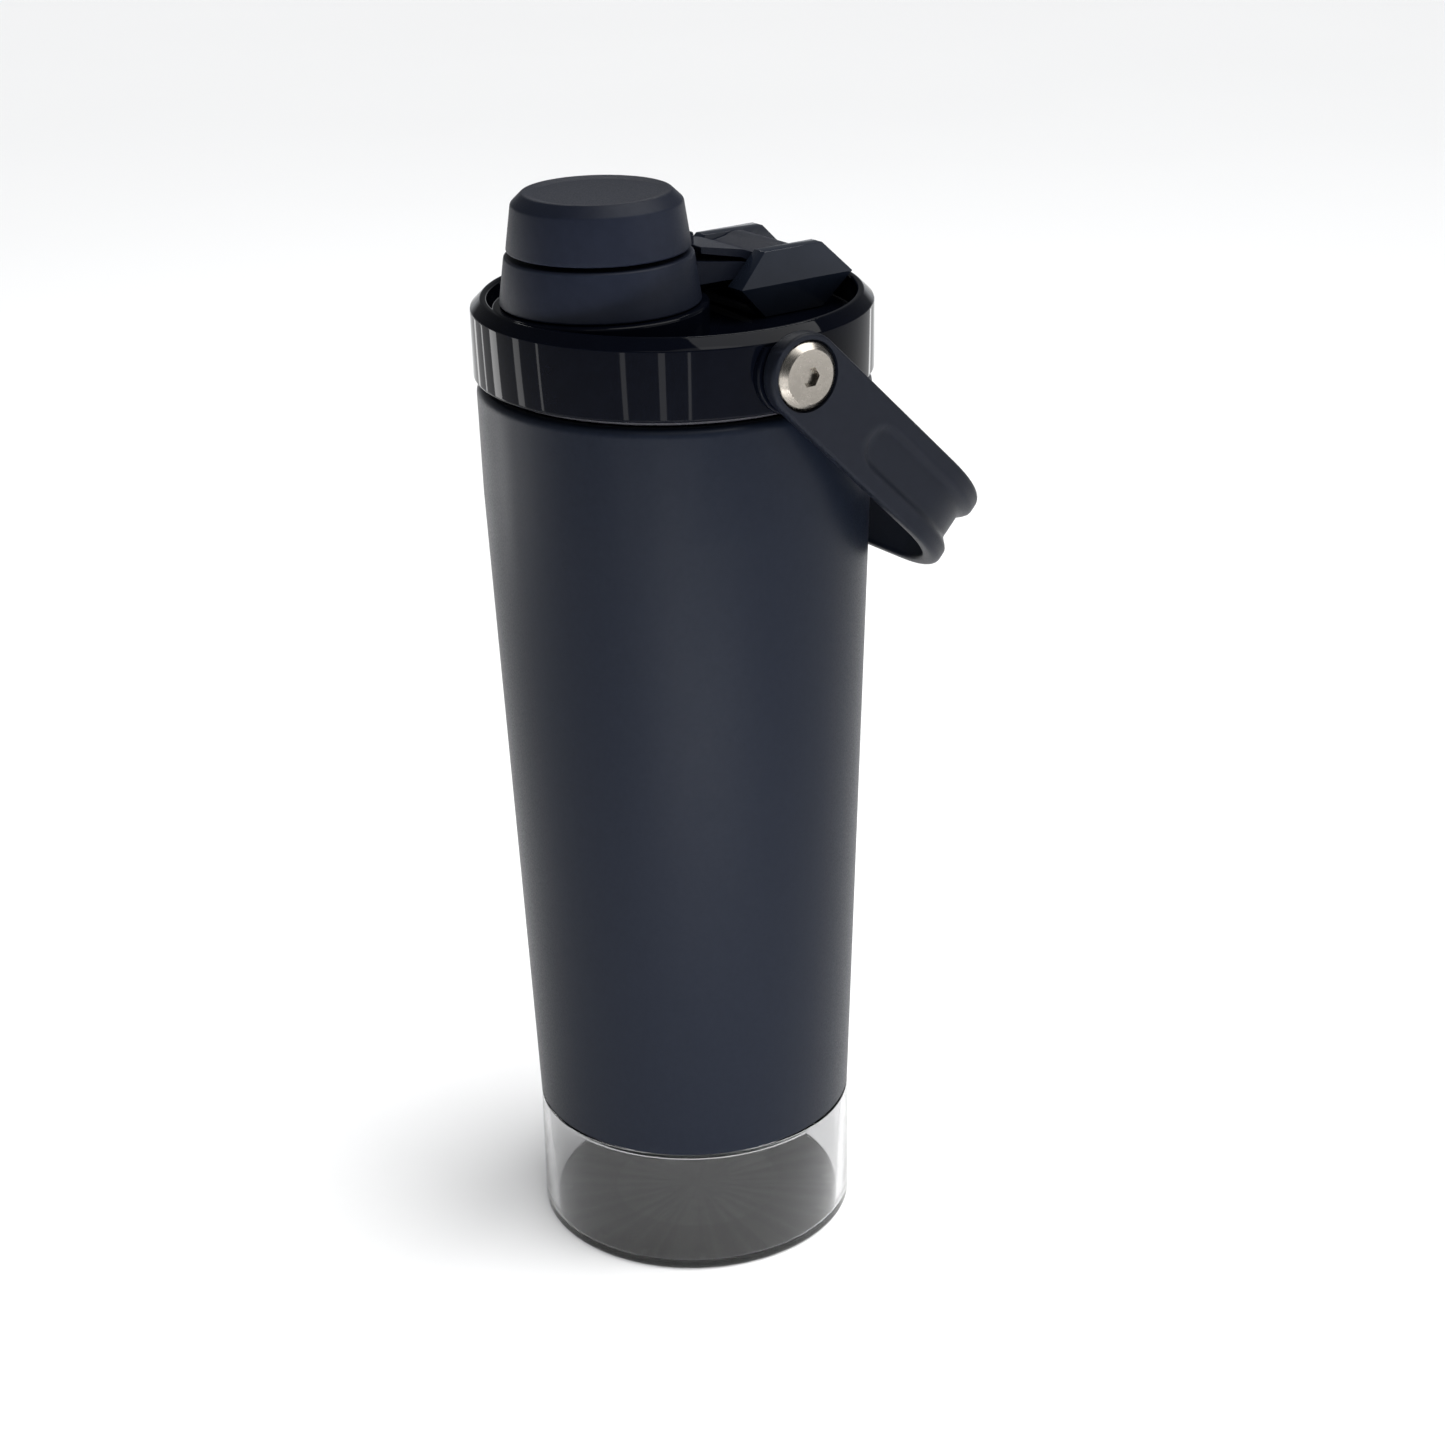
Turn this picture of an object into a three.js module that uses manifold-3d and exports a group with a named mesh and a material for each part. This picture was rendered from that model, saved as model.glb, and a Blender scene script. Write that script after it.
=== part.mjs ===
// Protein shaker bottle: insulated steel body, clear screw-on base cup, gloss lid
// with a flip cap over an off-centre spout, and a swinging carry handle.
//
// Millimetres. +Z is up and the origin is the centre of the base cup's underside.
// +X runs from the spout towards the cap's hinge, and the handle's pivots lie along Y.

import * as THREE from 'three';
import { mergeVertices } from 'three/addons/utils/BufferGeometryUtils.js';
import Module from 'manifold-3d';

const wasm = await Module();
wasm.setup();

// ---------------------------------------------------------------- driving dimensions

const GAP = 0.3; // assembly gap between pieces that touch
const SIDES = 48; // facets round a large turned piece
const SMALL_SIDES = 24; // facets round a small turned piece

// base cup
const CUP_RADIUS = 39.4;
const CUP_WALL = 2.2;
const CUP_FLOOR = 2.6;
const CUP_SHOULDER_Z = 32.6;
const CUP_NECK_RADIUS = 35.6;
const CUP_NECK_TOP_Z = 48;

// body
const BODY_BOTTOM_Z = 33;
const BODY_BOTTOM_RADIUS = 39.2;
const BODY_SHOULDER_Z = 198;
const BODY_TOP_Z = 218.3;
const BODY_TOP_RADIUS = 45.4;
const SHELL_WALL = 1;
const VACUUM_GAP = 2.8;
const CHAMBER_BOTTOM_Z = 50.7;
const LINER_BOTTOM_Z = 56;
const LINER_WALL = 1;
const MOUTH_RADIUS = 40.6;
const MOUTH_THREAD_Z = 202;

// lid
const LID_RADIUS = 46;
const LID_WALL = 2.5;
const SKIRT_BOTTOM_Z = 219.8;
const SKIRT_TOP_Z = 236;
const RIM_Z = 238;
const DECK_Z = 231.2;
const DECK_RADIUS = 42;
const PLATEAU_Z = 238.2;
const PLATEAU_RADIUS = 24.4;
const FLANGE_BOTTOM_Z = 220.2;
const FLANGE_TOP_Z = 222.6;
const CORE_RADIUS = 39.4;
const CORE_WALL = 2.2;
const CORE_BOTTOM_Z = 203;
const THREAD_BEAD = 1.1;
const THREAD_DEPTH = 0.8;
const THREAD_LEAD = 8;

// spout, collar and flip cap
const SPOUT_X = -19.2;
const SPOUT_RADIUS = 14.3;
const SPOUT_BORE = 11.8;
const SPOUT_TOP_Z = 257;
const COLLAR_BOTTOM_RADIUS = 22.7;
const COLLAR_TOP_RADIUS = 21.2;
const COLLAR_TOP_Z = 249.4;
const CAP_BOTTOM_Z = 250.5;
const CAP_BOTTOM_RADIUS = 20.7;
const CAP_SHOULDER_Z = 260.4;
const CAP_SHOULDER_RADIUS = 19.2;
const CAP_TOP_Z = 263.3;
const CAP_CROWN_RADIUS = 16.6;

// cap hinge
const HINGE_X = 24.5;
const HINGE_Z = 240.2;
const HINGE_PIN_RADIUS = 1.8;
const KNUCKLE_RADIUS = 6.3;
const KNUCKLE_HALF_WIDTH = 9.3;
const ARM_HALF_WIDTH = 8.4;
const ARM_ROOT_HALF_WIDTH = 4;
const EAR_INNER_Y = 9.6;
const EAR_CREASE_Y = 15.1;
const EAR_EDGE_Y = 13.6;
const EAR_HALF_LENGTH = 15.7;
const EAR_FLAT_HALF_LENGTH = 8.1;
const EAR_TOP_Z = 246.4;
const EAR_BOTTOM_Z = 231.5;

// carry handle and its pivots
const PIVOT_Z = 228.6;
const HANDLE_REST_ANGLE = THREE.MathUtils.degToRad(44.2);
const HANDLE_REACH = 76; // pivot to the outside of the crossbar
const HANDLE_INNER_Y = 47.6;
const HANDLE_OUTER_Y = 51.6;
const HANDLE_HALF_WIDTH = 9.4;
const HANDLE_CORNER_RADIUS = 27;
const GRIP_HALF_WIDTH = 5.1;
const GRIP_DEPTH = 1.6;
const GRIP_START = 23.5;
const PAD_RADIUS = 9.8;
const PAD_Y = 46.8;
const SCREW_HEAD_RADIUS = 7.7;
const SCREW_FACE_RADIUS = 6;
const SCREW_HEAD_Y = 52.5;
const SCREW_SEAT_Y = 50.5;
const SHOULDER_RADIUS = 3.9;
const INSERT_RADIUS = 3.9;

// ---------------------------------------------------------------- materials

function finish(color, roughness, metalness = 0, opacity = 1) {
  const transparent = opacity < 1;
  return new THREE.MeshStandardMaterial({ color, roughness, metalness, opacity, transparent });
}

const clearPlastic = finish(0xb9b6b2, 0.08, 0, 0.35);
const silicone = finish(0x33343a, 0.75);
const powderCoat = finish(0x20232c, 0.42, 0.1);
const bareSteel = finish(0xb4b6b8, 0.3, 1);
const glossBlack = finish(0x07090c, 0.06);
const matteBlack = finish(0x2b2b31, 0.6);
const corePlastic = finish(0x1b1c20, 0.5);
const polishedSteel = finish(0xc9c2b8, 0.22, 1);
const brass = finish(0xb08d45, 0.35, 1);
const nylon = finish(0x17181b, 0.6);

// ---------------------------------------------------------------- shape helpers

// A closed three.js geometry as a manifold solid with its faces pointing out.
function solid(geometry) {
  const bare = new THREE.BufferGeometry();
  bare.setAttribute('position', geometry.getAttribute('position'));
  if (geometry.index) bare.setIndex(geometry.index);
  const merged = mergeVertices(bare, 1e-4);
  const vertices = merged.getAttribute('position').array;
  const corner = (i) => new THREE.Vector3().fromArray(vertices, 3 * i);
  const triangles = [];
  let volume = 0;
  for (let i = 0; i < merged.index.count; i += 3) {
    const [a, b, c] = [0, 1, 2].map((k) => merged.index.getX(i + k));
    if (a === b || b === c || a === c) continue;
    triangles.push([a, b, c]);
    volume += corner(a).dot(corner(b).cross(corner(c)));
  }
  const facing = volume < 0 ? triangles.map(([a, b, c]) => [a, c, b]) : triangles;
  const vertProperties = new Float32Array(vertices);
  const triVerts = new Uint32Array(facing.flat());
  return new wasm.Manifold(new wasm.Mesh({ numProp: 3, vertProperties, triVerts }));
}

// A piece turned about the vertical axis through (x, 0), from [radius, z] points.
function turned(profile, { sides = SIDES, x = 0 } = {}) {
  const points = profile.map(([r, z]) => new THREE.Vector2(r, z));
  points.push(points[0].clone());
  const geometry = new THREE.LatheGeometry(points, sides);
  geometry.rotateX(Math.PI / 2);
  geometry.translate(x, 0, 0);
  return solid(geometry);
}

// A piece turned about an axis along Y through (x, z), from [radius, y] points.
// side is -1 or 1 and mirrors the piece to the -Y or +Y end.
function turnedAlongY(profile, x, z, side = 1, sides = SMALL_SIDES) {
  const points = profile.map(([r, y]) => new THREE.Vector2(r, y * side));
  points.push(points[0].clone());
  const geometry = new THREE.LatheGeometry(points, sides);
  geometry.translate(x, 0, z);
  return solid(geometry);
}

function ring(inner, outer, low, high) {
  return [[inner, low], [outer, low], [outer, high], [inner, high]];
}

function disc(radius, low, high) {
  return [[0, low], [radius, low], [radius, high], [0, high]];
}

// Points of a quarter round on a profile, from angle to angle in degrees.
function round(r, z, radius, from, to, steps = 3) {
  const points = [];
  for (let i = 0; i <= steps; i += 1) {
    const angle = THREE.MathUtils.degToRad(from + ((to - from) * i) / steps);
    points.push([r + radius * Math.cos(angle), z + radius * Math.sin(angle)]);
  }
  return points;
}

function box(low, high) {
  const size = high.map((value, i) => value - low[i]);
  const geometry = new THREE.BoxGeometry(...size);
  geometry.translate(...low.map((value, i) => value + size[i] / 2));
  return solid(geometry);
}

// An outline of [x, z] points drawn in the XZ plane and extruded from y to y.
function plate(outline, from, to) {
  const shape = new THREE.Shape(outline.map(([x, z]) => new THREE.Vector2(x, z)));
  const geometry = new THREE.ExtrudeGeometry(shape, { depth: to - from, bevelEnabled: false });
  geometry.rotateX(Math.PI / 2);
  geometry.translate(0, to, 0);
  return solid(geometry);
}

class Helix extends THREE.Curve {
  constructor(radius, startZ, lead, turns) {
    super();
    Object.assign(this, { radius, startZ, lead, turns });
  }

  getPoint(t, target = new THREE.Vector3()) {
    const angle = 2 * Math.PI * this.turns * t;
    const z = this.startZ + this.lead * this.turns * t;
    return target.set(this.radius * Math.cos(angle), this.radius * Math.sin(angle), z);
  }
}

// A rounded thread standing THREAD_DEPTH proud of a cylinder.
function threadRidge(radius, startZ, turns) {
  const path = new Helix(radius + THREAD_DEPTH - THREAD_BEAD, startZ, THREAD_LEAD, turns);
  const section = new THREE.Shape();
  section.absarc(0, 0, THREAD_BEAD, 0, 2 * Math.PI);
  const steps = Math.round(40 * turns);
  const options = { extrudePath: path, steps, curveSegments: 6, bevelEnabled: false };
  return solid(new THREE.ExtrudeGeometry(section, options));
}

const group = new THREE.Group();

// Adds a finished manifold solid to the model as a named mesh.
function add(name, shape, material) {
  const { vertProperties, triVerts } = shape.getMesh();
  const geometry = new THREE.BufferGeometry();
  geometry.setAttribute('position', new THREE.BufferAttribute(vertProperties, 3));
  geometry.setIndex(new THREE.BufferAttribute(triVerts, 1));
  geometry.computeVertexNormals();
  const mesh = new THREE.Mesh(geometry, material);
  mesh.name = name;
  group.add(mesh);
}

// ---------------------------------------------------------------- base cup

// Radius of the body's outside at height z on its straight taper.
function bodyRadius(z) {
  const rise = (z - BODY_BOTTOM_Z) / (BODY_SHOULDER_Z - BODY_BOTTOM_Z);
  return BODY_BOTTOM_RADIUS + (BODY_TOP_RADIUS - BODY_BOTTOM_RADIUS) * rise;
}

function baseCup() {
  const inner = CUP_RADIUS - CUP_WALL;
  const neckInner = CUP_NECK_RADIUS - CUP_WALL;
  const cup = turned([
    [0, 0],
    ...round(CUP_RADIUS - 1.2, 1.2, 1.2, -90, 0),
    [BODY_BOTTOM_RADIUS, CUP_SHOULDER_Z - 0.5],
    [BODY_BOTTOM_RADIUS - 0.5, CUP_SHOULDER_Z],
    [CUP_NECK_RADIUS, CUP_SHOULDER_Z],
    [CUP_NECK_RADIUS, CUP_NECK_TOP_Z - 0.5],
    [CUP_NECK_RADIUS - 0.5, CUP_NECK_TOP_Z],
    [neckInner, CUP_NECK_TOP_Z],
    [neckInner, CUP_SHOULDER_Z - 1],
    [inner, CUP_SHOULDER_Z - 4],
    ...round(inner - 1.5, CUP_FLOOR + 1.5, 1.5, 0, -90),
    [0, CUP_FLOOR],
  ]);
  return cup.add(threadRidge(CUP_NECK_RADIUS, CUP_SHOULDER_Z + 3, 1.1));
}

add('base_cup', baseCup(), clearPlastic);

const cupSealProfile = ring(
  CUP_NECK_RADIUS - CUP_WALL,
  CUP_NECK_RADIUS + 0.6,
  CUP_NECK_TOP_Z + GAP,
  CHAMBER_BOTTOM_Z - GAP,
);
add('base_cup_seal', turned(cupSealProfile), silicone);

// ---------------------------------------------------------------- body

// The painted outer wall: a straight taper, a nearly upright band below the lid, and a
// rounded top edge that turns in to the mouth.
function outerShell() {
  const edge = 2.4;
  const inner = BODY_TOP_RADIUS - SHELL_WALL;
  const lipRadius = MOUTH_RADIUS + LINER_WALL + GAP + 0.3;
  return turned([
    [BODY_BOTTOM_RADIUS - 0.4, BODY_BOTTOM_Z],
    [BODY_BOTTOM_RADIUS, BODY_BOTTOM_Z + 0.5],
    [BODY_TOP_RADIUS - 0.3, BODY_SHOULDER_Z - 8],
    [BODY_TOP_RADIUS, BODY_SHOULDER_Z],
    [BODY_TOP_RADIUS + 0.1, BODY_TOP_Z - edge],
    ...round(BODY_TOP_RADIUS + 0.1 - edge, BODY_TOP_Z - edge, edge, 20, 90),
    [lipRadius, BODY_TOP_Z],
    [lipRadius, BODY_TOP_Z - SHELL_WALL],
    [inner - edge, BODY_TOP_Z - SHELL_WALL],
    [inner, BODY_TOP_Z - edge - SHELL_WALL],
    [inner, BODY_SHOULDER_Z],
    [BODY_BOTTOM_RADIUS - SHELL_WALL, BODY_BOTTOM_Z + 0.5],
    [BODY_BOTTOM_RADIUS - SHELL_WALL, BODY_BOTTOM_Z],
  ]);
}

add('outer_shell', outerShell(), powderCoat);

// The drawn steel vessel that holds the drink.
function innerLiner() {
  const low = bodyRadius(LINER_BOTTOM_Z) - SHELL_WALL - VACUUM_GAP;
  const corner = 4;
  const mouthOuter = MOUTH_RADIUS + LINER_WALL;
  return turned([
    [0, LINER_BOTTOM_Z],
    ...round(low - corner, LINER_BOTTOM_Z + corner, corner, -90, 0),
    [mouthOuter - 0.4, MOUTH_THREAD_Z - 3],
    [mouthOuter, MOUTH_THREAD_Z],
    [mouthOuter, BODY_TOP_Z - 0.3],
    [MOUTH_RADIUS, BODY_TOP_Z - 0.3],
    [MOUTH_RADIUS, MOUTH_THREAD_Z],
    [MOUTH_RADIUS - 0.4, MOUTH_THREAD_Z - 3],
    ...round(low - corner, LINER_BOTTOM_Z + corner, corner - LINER_WALL, 0, -90),
    [0, LINER_BOTTOM_Z + LINER_WALL],
  ]);
}

add('inner_liner', innerLiner(), bareSteel);

// The disc that closes the vacuum chamber, with a dimple for its seal.
function shellBottom() {
  const radius = bodyRadius(CHAMBER_BOTTOM_Z) - SHELL_WALL - GAP;
  return turned([
    [0, CHAMBER_BOTTOM_Z + 0.8],
    [4, CHAMBER_BOTTOM_Z + 0.8],
    [4, CHAMBER_BOTTOM_Z],
    [radius, CHAMBER_BOTTOM_Z],
    [radius, CHAMBER_BOTTOM_Z + 1.2],
    [6, CHAMBER_BOTTOM_Z + 1.2],
    [5, CHAMBER_BOTTOM_Z + 2],
    [0, CHAMBER_BOTTOM_Z + 2],
  ]);
}

add('shell_bottom', shellBottom(), bareSteel);

const vacuumSealProfile = disc(3.6, CHAMBER_BOTTOM_Z + 0.1, CHAMBER_BOTTOM_Z + 0.5);
add('vacuum_seal', turned(vacuumSealProfile, { sides: SMALL_SIDES }), nylon);

// The ring inside the body's foot that the base cup screws into.
function baseThreadRing() {
  const bore = CUP_NECK_RADIUS + THREAD_DEPTH + GAP;
  const outside = BODY_BOTTOM_RADIUS - SHELL_WALL - GAP;
  return turned([
    [bore, BODY_BOTTOM_Z + 1],
    [outside, BODY_BOTTOM_Z + 1],
    [outside + 0.4, CHAMBER_BOTTOM_Z - GAP],
    [bore + 0.2, CHAMBER_BOTTOM_Z - GAP],
  ]);
}

add('base_thread_ring', baseThreadRing(), nylon);

// ---------------------------------------------------------------- lid

// The gloss cover: skirt, sloping shoulder and narrow rim, a sunk deck with the round
// hollow plateau for the spout, and a flat pad and screw boss at each handle pivot.
function lidCover() {
  const skirtInner = LID_RADIUS - LID_WALL;
  const deckUnder = DECK_Z - LID_WALL;
  let cover = turned([
    [0, DECK_Z],
    [0, deckUnder],
    [skirtInner - 1.5, deckUnder],
    [skirtInner, deckUnder - 1.5],
    [skirtInner, SKIRT_BOTTOM_Z],
    ...round(LID_RADIUS - 0.8, SKIRT_BOTTOM_Z + 0.8, 0.8, -90, 0, 2),
    [LID_RADIUS, SKIRT_TOP_Z - 0.8],
    [LID_RADIUS - 0.3, SKIRT_TOP_Z],
    [DECK_RADIUS + 1.6, RIM_Z - 0.2],
    [DECK_RADIUS + 1, RIM_Z],
    [DECK_RADIUS + 0.4, RIM_Z - 0.2],
    [DECK_RADIUS, RIM_Z - 1],
    [DECK_RADIUS, DECK_Z],
  ]);
  const plateau = turned([
    [0, deckUnder],
    [PLATEAU_RADIUS, deckUnder],
    [PLATEAU_RADIUS, PLATEAU_Z - 0.6],
    [PLATEAU_RADIUS - 0.6, PLATEAU_Z],
    [0, PLATEAU_Z],
  ], { x: SPOUT_X });
  const cavityProfile = disc(PLATEAU_RADIUS - LID_WALL, deckUnder - 1, PLATEAU_Z - LID_WALL);
  cover = cover.add(plateau).subtract(turned(cavityProfile, { x: SPOUT_X }));

  const padBand = box([-20, -60, SKIRT_BOTTOM_Z], [20, 60, SKIRT_TOP_Z - 0.8]);
  for (const side of [-1, 1]) {
    const pad = turnedAlongY(disc(PAD_RADIUS, 44, PAD_Y), 0, PIVOT_Z, side, SIDES);
    const boss = turnedAlongY(disc(6, 36, 44.5), 0, PIVOT_Z, side);
    const hole = turnedAlongY(disc(INSERT_RADIUS + GAP, 37.2, 48), 0, PIVOT_Z, side);
    cover = cover.add(pad.intersect(padBand)).add(boss).subtract(hole);
  }
  const holeProfile = disc(SPOUT_RADIUS + 0.4, PLATEAU_Z - 5, PLATEAU_Z + 5);
  const spoutHole = turned(holeProfile, { x: SPOUT_X });
  return cover.subtract(spoutHole);
}

add('lid_cover', lidCover(), glossBlack);

// The plug that screws into the mouth: a flange under the cover and a threaded wall.
function lidCore() {
  const inner = CORE_RADIUS - CORE_WALL;
  const flangeRadius = LID_RADIUS - LID_WALL - 0.4;
  const core = turned([
    [0, FLANGE_TOP_Z],
    [flangeRadius, FLANGE_TOP_Z],
    [flangeRadius, FLANGE_BOTTOM_Z],
    [CORE_RADIUS, FLANGE_BOTTOM_Z],
    [CORE_RADIUS, CORE_BOTTOM_Z + 0.6],
    [CORE_RADIUS - 0.6, CORE_BOTTOM_Z],
    [inner, CORE_BOTTOM_Z],
    [inner, FLANGE_BOTTOM_Z],
    [0, FLANGE_BOTTOM_Z],
  ]);
  const bore = turned(disc(SPOUT_BORE, CORE_BOTTOM_Z, FLANGE_TOP_Z + 5), { x: SPOUT_X, sides: 32 });
  return core.add(threadRidge(CORE_RADIUS, CORE_BOTTOM_Z + 3, 1.3)).subtract(bore);
}

add('lid_core', lidCore(), corePlastic);

const gasketProfile = ring(
  MOUTH_RADIUS + GAP,
  LID_RADIUS - LID_WALL - GAP,
  BODY_TOP_Z + GAP,
  FLANGE_BOTTOM_Z - GAP,
);
add('lid_gasket', turned(gasketProfile), silicone);

// The mixing grid snaps into the bottom of the core: a rimmed plate with rings of holes.
function mixingGrid() {
  const radius = CORE_RADIUS - CORE_WALL - GAP;
  const low = CORE_BOTTOM_Z + 0.4;
  const thickness = 1.8;
  const pitch = 10.6;
  const holeRadius = 3.8;
  let grid = turned([
    [0, low],
    [radius, low],
    [radius, low + 4],
    [radius - 1.4, low + 4],
    [radius - 1.4, low + thickness],
    [0, low + thickness],
  ]);
  for (let row = 0; row <= 2; row += 1) {
    const count = Math.max(1, 6 * row);
    for (let i = 0; i < count; i += 1) {
      const angle = (2 * Math.PI * i) / count;
      const centre = [row * pitch * Math.cos(angle), row * pitch * Math.sin(angle), 0];
      const hole = turned(disc(holeRadius, low - 1, low + 3), { sides: 12 });
      grid = grid.subtract(hole.translate(centre));
    }
  }
  return grid;
}

add('mixing_grid', mixingGrid(), corePlastic);

// ---------------------------------------------------------------- spout and collar

// The drinking spout, with a flange below the cover and a rounded lip.
function spout() {
  const flange = 17.5;
  const low = FLANGE_TOP_Z + GAP;
  return turned([
    [SPOUT_BORE, low],
    [flange, low],
    [flange, low + 2],
    [SPOUT_RADIUS, low + 2],
    [SPOUT_RADIUS, SPOUT_TOP_Z - 0.6],
    [SPOUT_RADIUS - 0.6, SPOUT_TOP_Z],
    [SPOUT_BORE + 0.5, SPOUT_TOP_Z],
    [SPOUT_BORE, SPOUT_TOP_Z - 0.5],
  ], { x: SPOUT_X, sides: 32 });
}

add('spout', spout(), corePlastic);

// The collar round the spout, with a bridge reaching back under the cap's arm.
function spoutCollar() {
  const wall = 2.2;
  const low = PLATEAU_Z + GAP;
  const hole = SPOUT_RADIUS + 0.4;
  const cone = turned([
    [COLLAR_BOTTOM_RADIUS, low],
    [COLLAR_TOP_RADIUS, COLLAR_TOP_Z - 0.6],
    [COLLAR_TOP_RADIUS - 0.6, COLLAR_TOP_Z],
    [hole, COLLAR_TOP_Z],
    [hole, COLLAR_TOP_Z - wall],
    [COLLAR_TOP_RADIUS - wall, COLLAR_TOP_Z - wall],
    [COLLAR_BOTTOM_RADIUS - wall, low],
  ], { x: SPOUT_X, sides: SIDES });
  const front = SPOUT_X + COLLAR_TOP_RADIUS - 1;
  const bridge = plate([
    [front, COLLAR_TOP_Z - 9],
    [front + 13.2, COLLAR_TOP_Z - 9.2],
    [front + 14, COLLAR_TOP_Z - 8.4],
    [front + 14, COLLAR_TOP_Z - 6.4],
    [front + 13.4, COLLAR_TOP_Z - 5.8],
    [front, COLLAR_TOP_Z - 3.8],
  ], -ARM_HALF_WIDTH - 0.6, ARM_HALF_WIDTH + 0.6);
  return cone.add(bridge);
}

add('spout_collar', spoutCollar(), matteBlack);

// ---------------------------------------------------------------- flip cap

// The cap's outer shell, with its arm and hinge knuckle.
function flipCap() {
  const wall = 2;
  const cap = turned([
    [CAP_BOTTOM_RADIUS, CAP_BOTTOM_Z],
    [CAP_SHOULDER_RADIUS, CAP_SHOULDER_Z],
    [CAP_SHOULDER_RADIUS - 0.5, CAP_SHOULDER_Z + 0.9],
    [CAP_CROWN_RADIUS + 0.4, CAP_TOP_Z - 0.3],
    [CAP_CROWN_RADIUS - 0.4, CAP_TOP_Z],
    [CAP_CROWN_RADIUS - 2.4, CAP_TOP_Z - 0.5],
    [0, CAP_TOP_Z - 0.7],
    [0, CAP_SHOULDER_Z + 0.2],
    [CAP_SHOULDER_RADIUS - wall, CAP_SHOULDER_Z + 0.2],
    [CAP_BOTTOM_RADIUS - wall, CAP_BOTTOM_Z],
  ], { x: SPOUT_X });
  const root = SPOUT_X + CAP_BOTTOM_RADIUS - 1.4;
  const tab = plate([
    [root, CAP_BOTTOM_Z],
    [root + 2.5, CAP_BOTTOM_Z],
    [root + 2.5, CAP_BOTTOM_Z - 2.4],
    [root + 3.5, CAP_BOTTOM_Z - 2.4],
    [root + 3.5, CAP_BOTTOM_Z + 0.3],
    [root + 2.9, CAP_BOTTOM_Z + 0.9],
    [root + 0.2, CAP_BOTTOM_Z + 0.9],
  ], -ARM_ROOT_HALF_WIDTH, ARM_ROOT_HALF_WIDTH);
  const arm = plate([
    [root + 2.5, CAP_BOTTOM_Z - 3.3],
    [root + 5, CAP_BOTTOM_Z - 3.9],
    [14, HINGE_Z + 4.5],
    [HINGE_X - 6, HINGE_Z + 1.5],
    [HINGE_X, HINGE_Z + 1],
    [HINGE_X - 1, HINGE_Z + KNUCKLE_RADIUS - 0.2],
    [HINGE_X - 7, HINGE_Z + 5],
    [14, HINGE_Z + 6.4],
    [root + 5.6, CAP_BOTTOM_Z - 2],
    [root + 2.5, CAP_BOTTOM_Z - 1.8],
  ], -ARM_HALF_WIDTH, ARM_HALF_WIDTH);
  const knuckleProfile = disc(KNUCKLE_RADIUS, -KNUCKLE_HALF_WIDTH, KNUCKLE_HALF_WIDTH);
  const knuckle = turnedAlongY(knuckleProfile, HINGE_X, HINGE_Z);
  const boreProfile = disc(HINGE_PIN_RADIUS + GAP, -20, 20);
  const bore = turnedAlongY(boreProfile, HINGE_X, HINGE_Z, 1, 16);
  return cap.add(tab).add(arm).add(knuckle).subtract(bore);
}

add('flip_cap', flipCap(), matteBlack);

// The moulding inside the cap that grips the spout and holds the seal.
const CAP_LINER_TOP_Z = CAP_SHOULDER_Z - 0.1;
const capLinerProfile = [
  [0, CAP_LINER_TOP_Z],
  [0, CAP_LINER_TOP_Z - 1.4],
  [15.2, CAP_LINER_TOP_Z - 1.4],
  [15.2, CAP_LINER_TOP_Z - 4.7],
  [16.8, CAP_LINER_TOP_Z - 4.7],
  [16.8, CAP_LINER_TOP_Z],
];
add('cap_liner', turned(capLinerProfile, { x: SPOUT_X, sides: 32 }), corePlastic);

// The seal rests on the spout's lip, and its shallow plug enters the bore.
const capSealProfile = [
  [0, SPOUT_TOP_Z - 2.2],
  [9.8, SPOUT_TOP_Z - 2.2],
  [10.4, SPOUT_TOP_Z - 1.6],
  [10.4, SPOUT_TOP_Z + GAP],
  [14.6, SPOUT_TOP_Z + GAP],
  [14.6, CAP_LINER_TOP_Z - 1.4 - GAP],
  [0, CAP_LINER_TOP_Z - 1.4 - GAP],
];
add('cap_seal', turned(capSealProfile, { x: SPOUT_X, sides: 32 }), silicone);

// ---------------------------------------------------------------- cap hinge

// Two six-sided ears on a base plate. Each ear's outer face folds along a level crease.
function hingeBracket() {
  const middle = (EAR_TOP_Z + EAR_BOTTOM_Z) / 2;
  const outline = [
    [HINGE_X - EAR_HALF_LENGTH, middle],
    [HINGE_X - EAR_FLAT_HALF_LENGTH, EAR_BOTTOM_Z],
    [HINGE_X + EAR_FLAT_HALF_LENGTH, EAR_BOTTOM_Z],
    [HINGE_X + EAR_HALF_LENGTH, middle],
    [HINGE_X + EAR_FLAT_HALF_LENGTH, EAR_TOP_Z],
    [HINGE_X - EAR_FLAT_HALF_LENGTH, EAR_TOP_Z],
  ];
  const fold = [
    [EAR_INNER_Y, EAR_BOTTOM_Z - 1],
    [EAR_EDGE_Y, EAR_BOTTOM_Z],
    [EAR_CREASE_Y, middle],
    [EAR_EDGE_Y, EAR_TOP_Z],
    [EAR_INNER_Y, EAR_TOP_Z + 1],
  ];
  let bracket = box(
    [HINGE_X - 9, -EAR_INNER_Y - 1, EAR_BOTTOM_Z],
    [HINGE_X + 9, EAR_INNER_Y + 1, EAR_BOTTOM_Z + 1.9],
  );
  for (const side of [-1, 1]) {
    // The fold is drawn across X and turned a quarter to run along it.
    const profile = fold.map(([y, z]) => [y * side, z]);
    const prism = plate(profile, -30, 30).rotate([0, 0, 90]).translate(HINGE_X, 0, 0);
    const ends = [EAR_INNER_Y * side, (EAR_CREASE_Y + 1) * side].sort((a, b) => a - b);
    bracket = bracket.add(plate(outline, ...ends).intersect(prism));
  }
  const pinHoleProfile = disc(HINGE_PIN_RADIUS + GAP, -13, 13);
  const pinHole = turnedAlongY(pinHoleProfile, HINGE_X, HINGE_Z, 1, 16);
  return bracket.subtract(pinHole);
}

add('hinge_bracket', hingeBracket(), glossBlack);

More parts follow.
